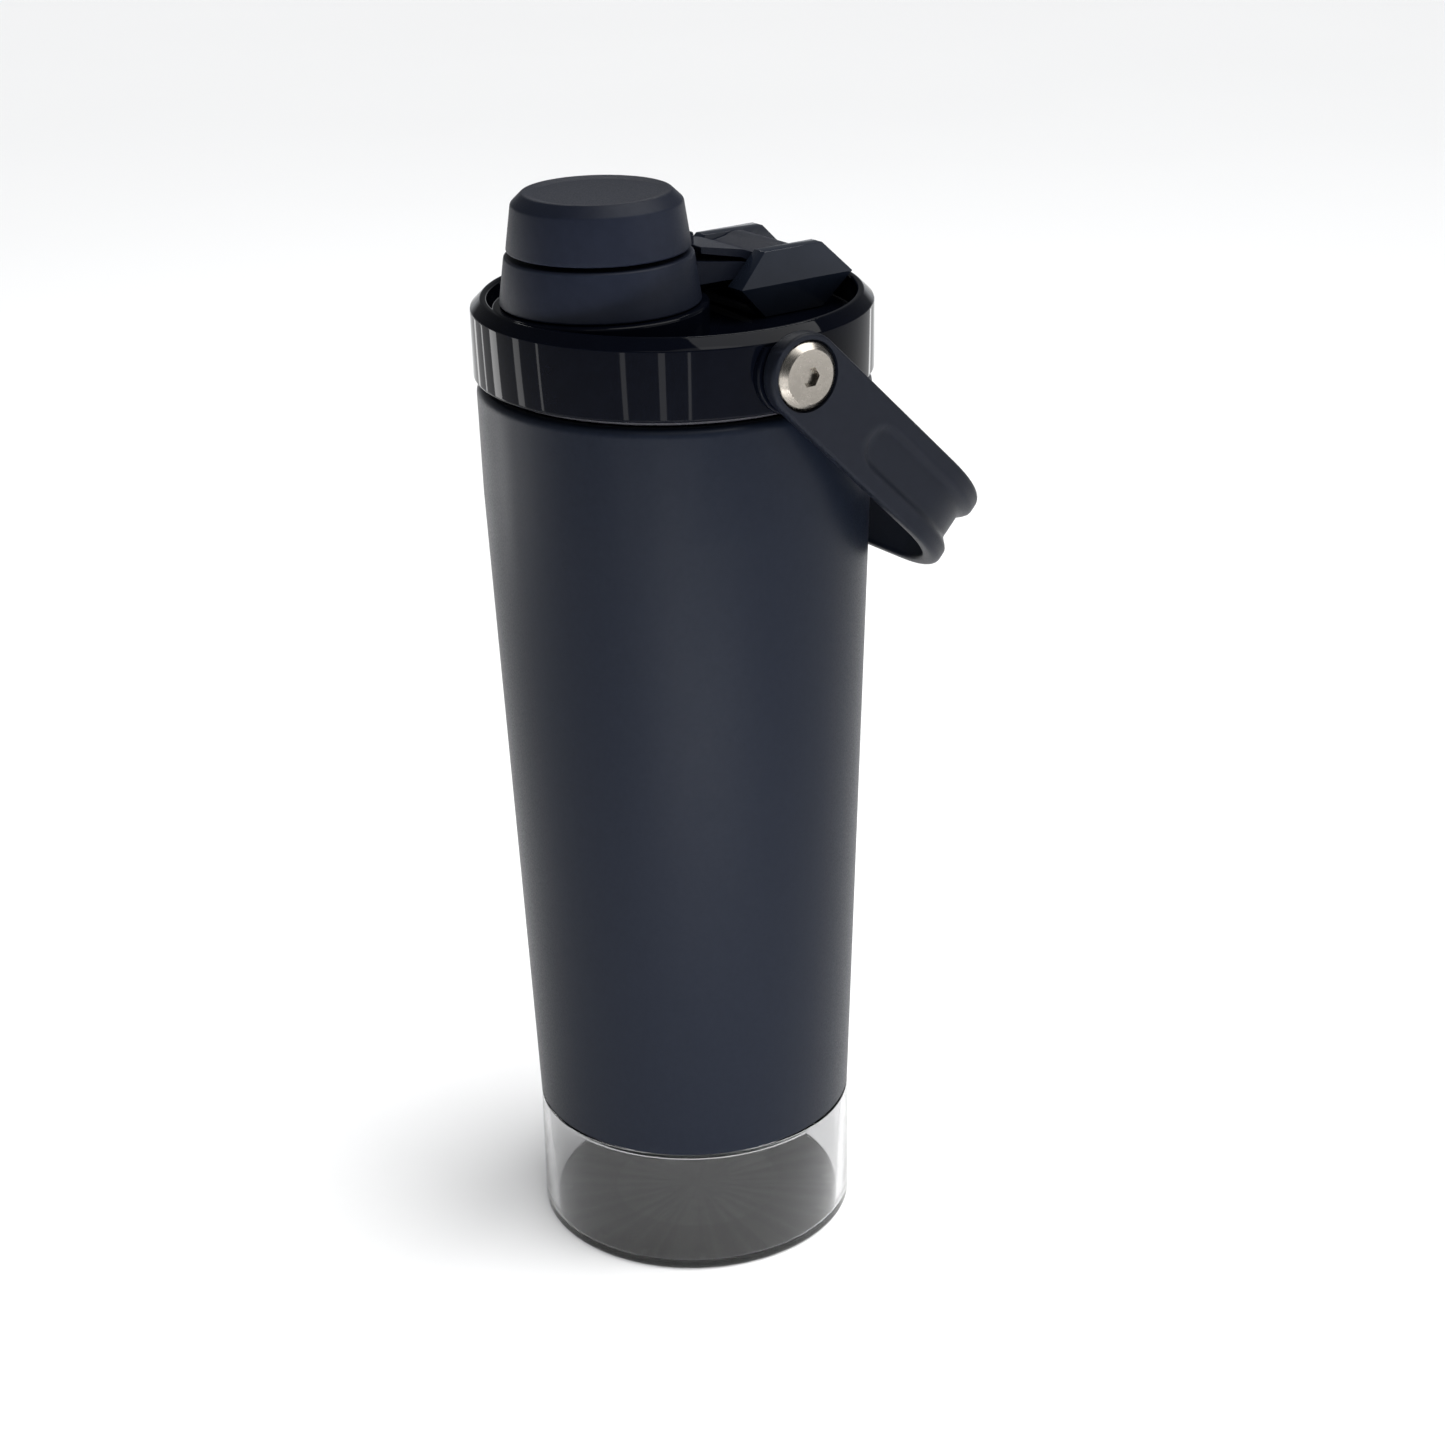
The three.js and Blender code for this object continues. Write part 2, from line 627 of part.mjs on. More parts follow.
const pinProfile = disc(HINGE_PIN_RADIUS, -13 + GAP, 13 - GAP);
add('hinge_pin', turnedAlongY(pinProfile, HINGE_X, HINGE_Z, 1, 16), polishedSteel);

// ---------------------------------------------------------------- handle pivots

// A shoulder screw: chamfered head with a hex socket, plain shoulder, thinner thread.
function pivotScrew(side) {
  const screw = turnedAlongY([
    [0, 38.5],
    [2.3, 38.5],
    [2.3, 45.8],
    [SHOULDER_RADIUS, 45.8],
    [SHOULDER_RADIUS, SCREW_SEAT_Y],
    [SCREW_HEAD_RADIUS, SCREW_SEAT_Y],
    [SCREW_HEAD_RADIUS, SCREW_HEAD_Y - 1.5],
    [SCREW_FACE_RADIUS, SCREW_HEAD_Y],
    [0, SCREW_HEAD_Y],
  ], 0, PIVOT_Z, side, 32);
  const socket = turnedAlongY(disc(2.35, SCREW_HEAD_Y - 1.4, SCREW_HEAD_Y + 1), 0, PIVOT_Z, side, 6);
  return screw.subtract(socket);
}

for (const [name, side] of [['left', -1], ['right', 1]]) {
  add(`pivot_screw_${name}`, pivotScrew(side), polishedSteel);
  const washer = ring(SHOULDER_RADIUS + GAP, 8.6, PAD_Y + 0.15, HANDLE_INNER_Y - 0.15);
  add(`pivot_washer_${name}`, turnedAlongY(washer, 0, PIVOT_Z, side), nylon);
  const insert = ring(2.3 + GAP, INSERT_RADIUS, 37.5, 45.5);
  add(`pivot_insert_${name}`, turnedAlongY(insert, 0, PIVOT_Z, side), brass);
}

// ---------------------------------------------------------------- carry handle

// The handle's loop seen along its width: reach runs to +X and the arms lie at +-Y.
// inset moves the outline in from the outside face.
function loopOutline(inset, tail) {
  const halfWidth = HANDLE_OUTER_Y - inset;
  const reach = HANDLE_REACH - inset;
  const corner = HANDLE_CORNER_RADIUS - inset;
  const near = round(reach - corner, halfWidth - corner, corner, 90, 0, 8);
  const far = near.map(([x, y]) => [x, -y]).reverse();
  return [[tail, halfWidth], ...near, ...far, [tail, -halfWidth]];
}

// The loop outline as a solid between two heights across the handle's width.
function loopSolid(inset, tail, low, high) {
  const shape = new THREE.Shape(loopOutline(inset, tail).map(([x, y]) => new THREE.Vector2(x, y)));
  const geometry = new THREE.ExtrudeGeometry(shape, { depth: high - low, bevelEnabled: false });
  geometry.translate(0, 0, low);
  return solid(geometry);
}

function handle() {
  const thickness = HANDLE_OUTER_Y - HANDLE_INNER_Y;
  const half = HANDLE_HALF_WIDTH;
  const outside = loopSolid(0, -20, -half - 2, half + 2);
  const inside = loopSolid(thickness, -21, -half - 3, half + 3);
  const side = plate([
    ...round(0, 0, half, 90, 270, 14),
    [HANDLE_REACH + 1, -half],
    [HANDLE_REACH + 1, half],
  ], -60, 60);
  let band = outside.subtract(inside).intersect(side);

  // The grip channel runs down one arm, across the crossbar and up the other arm.
  const channel = loopSolid(-2, 0, -GRIP_HALF_WIDTH, GRIP_HALF_WIDTH)
    .subtract(loopSolid(GRIP_DEPTH, -1, -half, half));
  const channelEnd = plate([
    ...round(GRIP_START + GRIP_HALF_WIDTH, 0, GRIP_HALF_WIDTH, 90, 270, 6),
    [HANDLE_REACH + 3, -GRIP_HALF_WIDTH],
    [HANDLE_REACH + 3, GRIP_HALF_WIDTH],
  ], -60, 60);
  band = band.subtract(channel.intersect(channelEnd));

  for (const end of [-1, 1]) {
    const bore = turnedAlongY(disc(SHOULDER_RADIUS + 0.4, 40, 55), 0, 0, end);
    const seatProfile = disc(SCREW_HEAD_RADIUS + 0.4, SCREW_SEAT_Y - GAP, 55);
    const seat = turnedAlongY(seatProfile, 0, 0, end, 32);
    band = band.subtract(bore).subtract(seat);
  }
  const degrees = THREE.MathUtils.radToDeg(HANDLE_REST_ANGLE);
  return band.rotate([0, degrees, 0]).translate(0, 0, PIVOT_Z);
}

add('handle', handle(), matteBlack);

export default group;
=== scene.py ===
import math

import bmesh
import bpy
from mathutils import Matrix, Vector


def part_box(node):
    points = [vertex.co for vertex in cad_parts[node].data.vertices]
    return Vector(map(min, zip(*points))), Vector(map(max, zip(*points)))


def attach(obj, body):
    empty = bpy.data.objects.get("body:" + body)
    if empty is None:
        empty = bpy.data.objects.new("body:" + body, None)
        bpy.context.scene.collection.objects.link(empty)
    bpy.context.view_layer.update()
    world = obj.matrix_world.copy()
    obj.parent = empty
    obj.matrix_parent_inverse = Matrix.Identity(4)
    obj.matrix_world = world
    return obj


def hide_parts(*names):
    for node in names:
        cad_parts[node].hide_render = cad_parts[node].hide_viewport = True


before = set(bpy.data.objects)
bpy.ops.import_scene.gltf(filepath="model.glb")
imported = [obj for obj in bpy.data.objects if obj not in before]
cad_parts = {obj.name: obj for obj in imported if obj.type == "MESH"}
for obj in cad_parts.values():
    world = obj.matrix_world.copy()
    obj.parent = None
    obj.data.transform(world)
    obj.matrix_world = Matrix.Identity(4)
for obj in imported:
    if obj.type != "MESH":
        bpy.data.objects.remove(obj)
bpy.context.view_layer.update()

# Protein shaker bottle. Shapes below are in millimetres, in the CAD model's frame: +Z up,
# +X from the spout towards the cap's hinge, the handle's pivots along Y. Meshes are metres.

MM = 0.001


def span(node):
    """Lowest and highest corner of a CAD node, in millimetres."""
    low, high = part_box(node)
    return low / MM, high / MM


# ---------------------------------------------------------------- sizes from the frame

CUP_LOW, CUP_HIGH = span("base_cup")
SHELL_LOW, SHELL_HIGH = span("outer_shell")
LINER_LOW, LINER_HIGH = span("inner_liner")
CHAMBER_LOW, CHAMBER_HIGH = span("shell_bottom")
COVER_LOW, COVER_HIGH = span("lid_cover")
CORE_LOW, CORE_HIGH = span("lid_core")
SPOUT_LOW, SPOUT_HIGH = span("spout")
COLLAR_LOW, COLLAR_HIGH = span("spout_collar")
CAP_LOW, CAP_HIGH = span("flip_cap")
PIN_LOW, PIN_HIGH = span("hinge_pin")
BRACKET_LOW, BRACKET_HIGH = span("hinge_bracket")
SCREW_LOW, SCREW_HIGH = span("pivot_screw_right")
HANDLE_LOW, HANDLE_HIGH = span("handle")

LID_RADIUS = COVER_HIGH.x
BODY_RADIUS = SHELL_HIGH.x
FOOT_RADIUS = 39.2
SPOUT_X = (SPOUT_LOW.x + SPOUT_HIGH.x) / 2
HINGE = ((PIN_LOW.x + PIN_HIGH.x) / 2, (PIN_LOW.z + PIN_HIGH.z) / 2)
PIVOT_Z = (SCREW_LOW.z + SCREW_HIGH.z) / 2
SKIRT_Z = COVER_LOW.z
SKIRT_TOP_Z = 236
RIM_Z = 238
DECK_Z = BRACKET_LOW.z - 0.3
PLATEAU_Z = COVER_HIGH.z
SPOUT_BORE = 11.8
SPOUT_RADIUS = 14.3
SPOUT_HOLE = SPOUT_RADIUS + 0.4
CAP_BOTTOM_Z = 250.5
EAR_INNER_Y = 9.6
PIN_RADIUS = 1.8
PIN_BORE = PIN_RADIUS + 0.3
MOULDED_WALL = 2.2
STEEL_WALL = 1
PAD_RADIUS = 9.8
BOSS_RADIUS = 6
INSERT_BORE = 4.2

ROUND = 160  # steps round a large turned piece
SMALL_ROUND = 96


# ---------------------------------------------------------------- mesh helpers


def rounded(points, steps=5):
    """An outline with its corners rounded. A point is (a, b) or (a, b, radius)."""
    outline = []
    count = len(points)
    for i, point in enumerate(points):
        here = Vector(point[:2])
        radius = point[2] if len(point) > 2 else 0
        if not radius:
            outline.append(tuple(here))
            continue
        to_last = (Vector(points[i - 1][:2]) - here).normalized()
        to_next = (Vector(points[(i + 1) % count][:2]) - here).normalized()
        half = to_last.angle(to_next) / 2
        start = here + to_last * radius / math.tan(half)
        centre = here + (to_last + to_next).normalized() * radius / math.sin(half)
        arm = start - centre
        turn = math.pi - 2 * half
        if to_last.x * to_next.y - to_last.y * to_next.x > 0:
            turn = -turn
        for k in range(steps + 1):
            angle = turn * k / steps
            c, s = math.cos(angle), math.sin(angle)
            outline.append((centre.x + c * arm.x - s * arm.y, centre.y + s * arm.x + c * arm.y))
    return outline


def shade(piece, angle=32):
    """Smooth shading that stays crisp at edges sharper than the angle, in degrees."""
    piece.data.shade_smooth()
    piece.data.set_sharp_from_angle(angle=math.radians(angle))
    return piece


def new_piece(name, mesh_builder, material=None):
    """A new object from a bmesh drawn in millimetres."""
    mesh = bpy.data.meshes.new(name)
    bmesh.ops.remove_doubles(mesh_builder, verts=mesh_builder.verts, dist=1e-4)
    bmesh.ops.recalc_face_normals(mesh_builder, faces=mesh_builder.faces)
    mesh_builder.to_mesh(mesh)
    mesh_builder.free()
    mesh.transform(Matrix.Scale(MM, 4))
    piece = bpy.data.objects.new(name, mesh)
    bpy.context.scene.collection.objects.link(piece)
    if material:
        mesh.materials.append(material)
    return shade(piece)


def turned(name, profile, material=None, centre=(0, 0, 0), axis="Z", steps=ROUND, side=1):
    """A piece turned from a closed outline of (radius, height) points about one axis."""
    bm = bmesh.new()
    rings = []
    for radius, height in profile:
        ring = []
        for k in range(steps if radius > 1e-6 else 1):
            angle = 2 * math.pi * k / steps
            a, b = radius * math.cos(angle), radius * math.sin(angle)
            place = (a, b, height) if axis == "Z" else (a, height * side, b)
            ring.append(bm.verts.new(Vector(place) + Vector(centre)))
        rings.append(ring)
    for i, ring in enumerate(rings):
        above = rings[(i + 1) % len(rings)]
        if len(ring) == 1 and len(above) == 1:
            continue
        for k in range(steps):
            corner = [ring[k % len(ring)], ring[(k + 1) % len(ring)]]
            corner += [above[(k + 1) % len(above)], above[k % len(above)]]
            face = list(dict.fromkeys(corner))
            if len(face) > 2:
                bm.faces.new(face)
    return new_piece(name, bm, material)


def extruded(name, outline, low, high, material=None, along="Y"):
    """An outline drawn in the XZ plane (along Y) or the YZ plane (along X), extruded."""
    bm = bmesh.new()
    if along == "Y":
        start = [bm.verts.new((a, low, b)) for a, b in outline]
        offset = Vector((0, high - low, 0))
    else:
        start = [bm.verts.new((low, a, b)) for a, b in outline]
        offset = Vector((high - low, 0, 0))
    face = bm.faces.new(start)
    result = bmesh.ops.extrude_face_region(bm, geom=[face])
    moved = [v for v in result["geom"] if isinstance(v, bmesh.types.BMVert)]
    bmesh.ops.translate(bm, vec=offset, verts=moved)
    return new_piece(name, bm, material)


def apply_modifiers(piece):
    depsgraph = bpy.context.evaluated_depsgraph_get()
    mesh = bpy.data.meshes.new_from_object(piece.evaluated_get(depsgraph))
    piece.modifiers.clear()
    piece.data = mesh
    return piece


def combine(piece, tool, operation="UNION"):
    """Joins a tool to a piece, or cuts it with one, and removes the tool."""
    modifier = piece.modifiers.new("combine", "BOOLEAN")
    modifier.operation = operation
    modifier.object = tool
    modifier.solver = "MANIFOLD"
    apply_modifiers(piece)
    bpy.data.objects.remove(tool)
    return shade(piece)


def cut(piece, tool):
    return combine(piece, tool, "DIFFERENCE")


def finish_in(piece, material):
    """Leaves a joined piece with one material."""
    piece.data.materials.clear()
    piece.data.materials.append(material)


def bevel_edges(piece, width, angle=30, steps=2):
    """Rounds every edge of a piece that is sharper than the angle."""
    modifier = piece.modifiers.new("bevel", "BEVEL")
    modifier.width = width * MM
    modifier.segments = steps
    modifier.limit_method = "ANGLE"
    modifier.angle_limit = math.radians(angle)
    modifier.harden_normals = False
    return shade(apply_modifiers(piece))


def thread_ridge(name, radius, start, turns, bead=1.1, depth=0.8, lead=8, steps=60):
    """A rounded helical bead standing proud of a cylinder, tapering in at both ends."""
    bm = bmesh.new()
    sides = 10
    count = int(steps * turns)
    rings = []
    for i in range(count + 1):
        angle = 2 * math.pi * turns * i / count
        fade = min(1, 8 * i / count, 8 * (count - i) / count)
        centre = radius + depth * fade - bead
        height = start + lead * turns * i / count
        ring = []
        for k in range(sides):
            turn = 2 * math.pi * k / sides
            reach = centre + bead * math.cos(turn)
            place = (reach * math.cos(angle), reach * math.sin(angle), height + bead * math.sin(turn))
            ring.append(bm.verts.new(place))
        rings.append(ring)
    for ring, following in zip(rings, rings[1:]):
        for k in range(sides):
            bm.faces.new((ring[k], ring[(k + 1) % sides], following[(k + 1) % sides], following[k]))
    bm.faces.new(rings[0])
    bm.faces.new(rings[-1])
    return new_piece(name, bm)


def disc(radius, low, high):
    return [(0, low), (radius, low), (radius, high), (0, high)]


def fit(piece, body, *nodes):
    """The piece rides on a body and stands for these CAD nodes."""
    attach(piece, body)
    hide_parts(*nodes)
    return piece


# ---------------------------------------------------------------- materials


class Surface:
    """A principled material with object-space textures to build on."""

    def __init__(self, name, colour, roughness, **sockets):
        self.material = bpy.data.materials.new(name)
        self.material.use_nodes = True
        self.nodes = self.material.node_tree.nodes
        self.links = self.material.node_tree.links
        self.shader = self.nodes["Principled BSDF"]
        self.shader.inputs["Base Color"].default_value = (*colour, 1)
        self.shader.inputs["Roughness"].default_value = roughness
        for socket, value in sockets.items():
            self.shader.inputs[socket.replace("_", " ")].default_value = value
        self.coordinates = self.nodes.new("ShaderNodeTexCoord")
        self.bump_end = None

    def noise(self, scale, detail=2, stretch=(1, 1, 1)):
        """A noise value; scale is in features per metre."""
        mapping = self.nodes.new("ShaderNodeMapping")
        mapping.inputs["Scale"].default_value = stretch
        texture = self.nodes.new("ShaderNodeTexNoise")
        texture.inputs["Scale"].default_value = scale
        texture.inputs["Detail"].default_value = detail
        self.links.new(self.coordinates.outputs["Object"], mapping.inputs["Vector"])
        self.links.new(mapping.outputs["Vector"], texture.inputs["Vector"])
        return texture.outputs["Fac"]

    def remap(self, value, from_low, from_high, to_low, to_high):
        ramp = self.nodes.new("ShaderNodeMapRange")
        for name, number in zip(
            ("From Min", "From Max", "To Min", "To Max"), (from_low, from_high, to_low, to_high)
        ):
            ramp.inputs[name].default_value = number
        self.links.new(value, ramp.inputs["Value"])
        return ramp.outputs["Result"]

    def tint(self, value, low, high):
        """Base colour running from low to high as a value goes from 0 to 1."""
        ramp = self.nodes.new("ShaderNodeValToRGB")
        ramp.color_ramp.elements[0].color = (*low, 1)
        ramp.color_ramp.elements[1].color = (*high, 1)
        self.links.new(value, ramp.inputs["Fac"])
        self.links.new(ramp.outputs["Color"], self.shader.inputs["Base Color"])

    def roughen(self, value, low, high):
        self.links.new(self.remap(value, 0.3, 0.7, low, high), self.shader.inputs["Roughness"])

    def bump(self, value, strength, distance):
        """Adds relief; distance is its height in millimetres."""
        bump = self.nodes.new("ShaderNodeBump")
        bump.inputs["Strength"].default_value = strength
        bump.inputs["Distance"].default_value = distance * MM
        self.links.new(value, bump.inputs["Height"])
        if self.bump_end:
            self.links.new(self.bump_end, bump.inputs["Normal"])
        self.bump_end = bump.outputs["Normal"]
        self.links.new(self.bump_end, self.shader.inputs["Normal"])


def powder_coat():
    surface = Surface("powder_coat", (0.004, 0.005, 0.009), 0.4, Specular_IOR_Level=0.11)
    grain = surface.noise(2600, 3)
    surface.tint(surface.noise(900, 4), (0.0030, 0.0045, 0.0088), (0.0056, 0.0076, 0.0132))
    surface.roughen(grain, 0.30, 0.46)
    surface.bump(grain, 0.3, 0.02)
    return surface.material


def gloss_plastic(name, low, high, roughness, shine):
    """Polished moulded plastic with faint flow waves; its colour runs from low to high."""
    surface = Surface(name, high, roughness, Specular_IOR_Level=shine)
    surface.roughen(surface.noise(60, 3), 0.7 * roughness, 1.3 * roughness)
    surface.bump(surface.noise(45, 2), 0.06, 0.05)
    surface.tint(surface.noise(250, 2), low, high)
    return surface.material


def matte_plastic(name, low, high, roughness, shine=0.25):
    """Moulded plastic with a fine matt grain; its colour runs from low to high."""
    surface = Surface(name, high, roughness, Specular_IOR_Level=shine)
    texture = surface.noise(3200, 2)
    surface.tint(surface.noise(500, 4), low, high)
    surface.roughen(texture, roughness - 0.06, roughness + 0.06)
    surface.bump(texture, 0.35, 0.02)
    return surface.material


def rubber(name, colour):
    surface = Surface(name, colour, 0.7)
    texture = surface.noise(1500, 3)
    surface.tint(texture, tuple(0.8 * c for c in colour), tuple(1.2 * c for c in colour))
    surface.bump(texture, 0.2, 0.02)
    return surface.material


def clear_plastic():
    surface = Surface(
        "clear_copolyester",
        (0.73, 0.73, 0.735),
        0.02,
        Transmission_Weight=1.0,
        IOR=1.45,
    )
    surface.roughen(surface.noise(120, 4), 0.01, 0.05)
    surface.bump(surface.noise(40, 2), 0.05, 0.05)
    surface.tint(surface.noise(90, 3), (0.71, 0.71, 0.712), (0.755, 0.755, 0.76))
    return surface.material


def metal(name, colour, roughness, stretch, scale=400):
    """Bare metal with fine lines, closest together along the axis that stretch raises."""
    surface = Surface(name, colour, roughness, Metallic=1.0)
    lines = surface.noise(scale, 4, stretch)
    surface.tint(lines, tuple(0.88 * c for c in colour), colour)
    surface.roughen(lines, roughness - 0.06, roughness + 0.08)
    surface.bump(lines, 0.15, 0.01)
    return surface.material


POWDER = powder_coat()
GLOSS = gloss_plastic(
    "piano_black", (0.0008, 0.0011, 0.0026), (0.0016, 0.0021, 0.0042), roughness=0.04, shine=0.05,
)
# The bracket's gloss black is a lighter copy of the lid's piano black: its raised base colour is painted
# reflection, standing for the light its facets catch.
BRACKET_LIT_GLOSS = gloss_plastic(
    "bracket_gloss_painted_sheen", (0.0075, 0.0105, 0.0180), (0.0110, 0.0145, 0.0240), roughness=0.10, shine=0.16,
)
CAP_PLASTIC = matte_plastic(
    "matt_cap_plastic", (0.0056, 0.0074, 0.0135), (0.0086, 0.0108, 0.0190), roughness=0.46, shine=0.09,
)
HANDLE_PLASTIC = matte_plastic(
    "soft_handle", (0.0036, 0.0046, 0.0078), (0.0054, 0.0066, 0.0106), roughness=0.42, shine=0.10,
)
CORE_PLASTIC = matte_plastic(
    "moulded_core", (0.010, 0.010, 0.013), (0.018, 0.018, 0.022), roughness=0.4,
)
NYLON = matte_plastic("nylon", (0.008, 0.008, 0.010), (0.014, 0.014, 0.017), roughness=0.5)
SILICONE = rubber("silicone", (0.030, 0.030, 0.036))
CLEAR = clear_plastic()
BRUSHED = metal("brushed_steel", (0.62, 0.63, 0.65), 0.28, (1, 1, 30))
SCREW_STEEL = metal("satin_screw_steel", (0.27, 0.25, 0.222), 0.24, (1, 30, 1), 900)
BRASS = metal("turned_brass", (0.72, 0.52, 0.22), 0.3, (1, 30, 1))


# ---------------------------------------------------------------- camera, floor, lights

CAMERA_AZIMUTH = math.radians(-33.8)
CAMERA_DISTANCE = 597.5
CAMERA_HEIGHT = 382.8
CAMERA_PITCH = math.radians(22.87)
CAMERA_YAW = math.radians(0.89)
CAMERA_ROLL = math.radians(-1.3)
CAMERA_LENS = 66.5


def make_camera():
    data = bpy.data.cameras.new("camera")
    data.lens = CAMERA_LENS
    data.sensor_width = 36
    data.clip_start = 0.01
    data.clip_end = 100
    camera = bpy.data.objects.new("camera", data)
    bpy.context.scene.collection.objects.link(camera)
    out = (math.sin(CAMERA_AZIMUTH), -math.cos(CAMERA_AZIMUTH))
    place = Vector((out[0] * CAMERA_DISTANCE, out[1] * CAMERA_DISTANCE, CAMERA_HEIGHT)) * MM
    turn = Matrix.Rotation(CAMERA_AZIMUTH - CAMERA_YAW, 4, "Z")
    tilt = Matrix.Rotation(math.pi / 2 - CAMERA_PITCH, 4, "X")
    roll = Matrix.Rotation(CAMERA_ROLL, 4, "Z")
    camera.matrix_world = Matrix.Translation(place) @ turn @ tilt @ roll
    bpy.context.scene.camera = camera


make_camera()


def area_light(name, azimuth, distance, height, size, power, aim=0.12, hidden=False):
    """A soft box at an azimuth round the bottle, in degrees; 0 is in front, along -Y.

    Lengths are in metres. A hidden one lights and is reflected, but isn't seen itself.
    """
    data = bpy.data.lights.new(name, "AREA")
    data.shape = "RECTANGLE"
    data.size, data.size_y = size
    data.energy = power
    light = bpy.data.objects.new(name, data)
    angle = math.radians(azimuth)
    place = Vector((math.sin(angle) * distance, -math.cos(angle) * distance, height))
    light.location = place
    light.rotation_euler = (Vector((0, 0, aim)) - place).to_track_quat("-Z", "Y").to_euler()
    light.visible_camera = not hidden
    light.visible_transmission = not hidden
    bpy.context.scene.collection.objects.link(light)
    return light


def make_sun(azimuth, elevation, strength, spread):
    """An even light over the whole floor that leaves a soft shadow."""
    data = bpy.data.lights.new("even_light", "SUN")
    data.energy = strength
    data.angle = math.radians(spread)
    sun = bpy.data.objects.new("even_light", data)
    a, e = math.radians(azimuth), math.radians(elevation)
    toward = Vector((math.sin(a) * math.cos(e), -math.cos(a) * math.cos(e), math.sin(e)))
    sun.rotation_euler = (-toward).to_track_quat("-Z", "Y").to_euler()
    bpy.context.scene.collection.objects.link(sun)


# Azimuth, width in metres and power of the upright strips that streak the gloss.
STREAKS = (
    (-176, 0.020, 0.018),
    (-163, 0.010, 0.016),
    (-148, 0.040, 0.110),
    (-126, 0.026, 0.070),
    (-110, 0.008, 0.026),
    (-60, 0.014, 0.034),
    (-40, 0.018, 0.042),
    (-26, 0.008, 0.022),
    (110, 0.020, 0.022),
)


def make_studio():
    bm = bmesh.new()
    bmesh.ops.create_circle(bm, cap_ends=True, segments=96, radius=9000)
    floor_surface = Surface("pale_floor", (0.86, 0.86, 0.86), 0.9, Specular_IOR_Level=0.1)
    floor_surface.tint(floor_surface.noise(3, 2), (0.85, 0.85, 0.85), (0.87, 0.87, 0.87))
    floor = new_piece("floor", bm, floor_surface.material)

    world = bpy.data.worlds.new("studio")
    world.use_nodes = True
    # The backdrop is pale at the horizon and dimmer above it.
    nodes, links = world.node_tree.nodes, world.node_tree.links
    background = nodes["Background"]
    background.inputs["Color"].default_value = (0.93, 0.96, 1.0, 1)
    direction = nodes.new("ShaderNodeTexCoord")
    split = nodes.new("ShaderNodeSeparateXYZ")
    fade = nodes.new("ShaderNodeMapRange")
    limits = {"From Min": 0.03, "From Max": 0.14, "To Min": 1.0, "To Max": 0.17}
    for name, number in limits.items():
        fade.inputs[name].default_value = number
    links.new(direction.outputs["Generated"], split.inputs["Vector"])
    links.new(split.outputs["Z"], fade.inputs["Value"])
    links.new(fade.outputs["Result"], background.inputs["Strength"])
    bpy.context.scene.world = world
    bpy.context.scene.view_settings.view_transform = "Standard"

    make_sun(60, 62, 3.15, 50)
    area_light("overhead", -20, 0.5, 1.1, (0.8, 0.4), 2, aim=0.2)
    area_light("back_strip", 150, 0.8, 0.9, (0.7, 0.12), 2, aim=0.2)
    area_light("ear_box", 33, 1.2, 0.45, (1.0, 0.9), 4, aim=0.24, hidden=True)
    low_front = area_light("low_front", -24, 0.36, 0.06, (0.3, 0.08), 2, aim=0.05, hidden=True)
    low_front.visible_glossy = False
    for azimuth, width, power in STREAKS:
        area_light(f"streak_{azimuth}", azimuth, 0.3, 0.145, (width, 0.13), power, aim=0.145, hidden=True)


make_studio()


# ---------------------------------------------------------------- base cup


def make_base_cup():
    wall = MOULDED_WALL
    floor_z = 1.3
    shoulder = 32.6
    neck = 35.6
    inner = CUP_HIGH.x - wall
    cup = turned("base_cup_clear", rounded([
        (0, CUP_LOW.z),
        (CUP_HIGH.x, CUP_LOW.z, 1.3),
        (FOOT_RADIUS, shoulder, 0.6),
        (neck, shoulder, 0.3),
        (neck, CUP_HIGH.z, 0.6),
        (neck - wall, CUP_HIGH.z, 0.6),
        (neck - wall, shoulder - 1.2, 0.5),
        (inner, shoulder - 1.2, 0.8),
        (inner, floor_z, 1.2),
        (0, floor_z),
    ]), CLEAR)
    combine(cup, thread_ridge("cup_thread", neck, shoulder + 3, 1.1))
    fit(cup, "cup", "base_cup")


make_base_cup()

seal_low, seal_high = span("base_cup_seal")
seal = turned("base_cup_seal_ring", rounded([
    (33.4, seal_low.z, 0.5),
    (seal_high.x, seal_low.z, 0.5),
    (seal_high.x, seal_high.z, 0.5),
    (33.4, seal_high.z, 0.5),
]), SILICONE)
fit(seal, "base_seal", "base_cup_seal")


# ---------------------------------------------------------------- body


